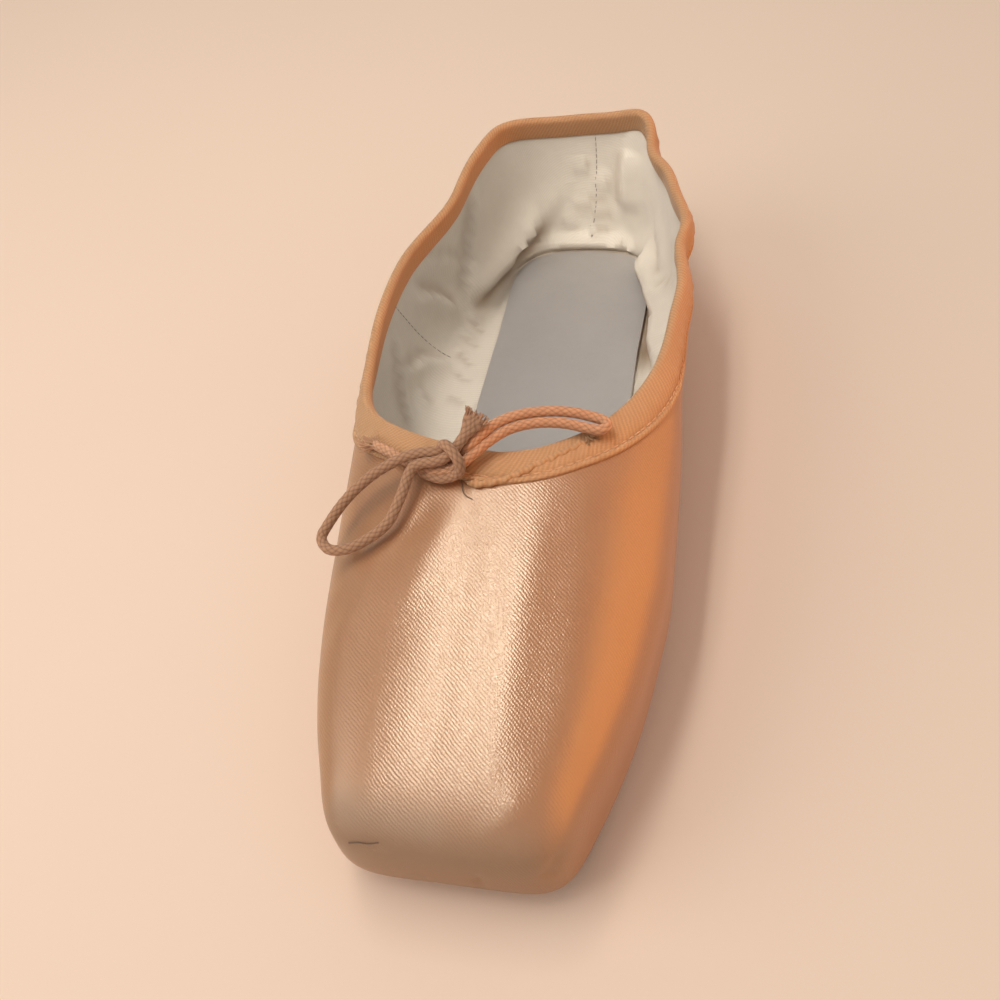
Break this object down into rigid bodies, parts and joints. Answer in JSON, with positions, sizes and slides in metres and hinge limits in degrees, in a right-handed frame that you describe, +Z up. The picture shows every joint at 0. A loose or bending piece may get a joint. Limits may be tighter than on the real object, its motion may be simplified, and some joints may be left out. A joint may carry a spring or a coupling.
{
  "type": "pointe shoe",
  "caption": "Satin ballet pointe shoe, empty and standing on its leather sole, with a flat platform toe and a drawstring bow at the throat.",
  "frame": {"origin": "on the floor, under the middle of the shoe without its bow", "axes": "+Y from the toe towards the heel, +Z up, +X to the right seen from the toe"},
  "size_m": [0.0886, 0.2332, 0.0625],
  "materials": {
    "satin": "peach satin with a broad soft sheen, over stiffened canvas",
    "tape": "matt cotton tape in a slightly deeper peach",
    "sole_leather": "pale buffed sole leather",
    "insole_board": "matt light grey covered board",
    "cord": "braided cotton cord in a pinkish tan"
  },
  "bodies": {
    "root": {"upper": "satin", "collar_binding": "tape", "outsole": "sole_leather", "insole": "insole_board", "drawstring_knot": "cord", "drawstring_loop_left": "cord", "drawstring_loop_right": "cord", "drawstring_end_left": "cord", "drawstring_end_right": "cord"}
  },
  "joints": []
}
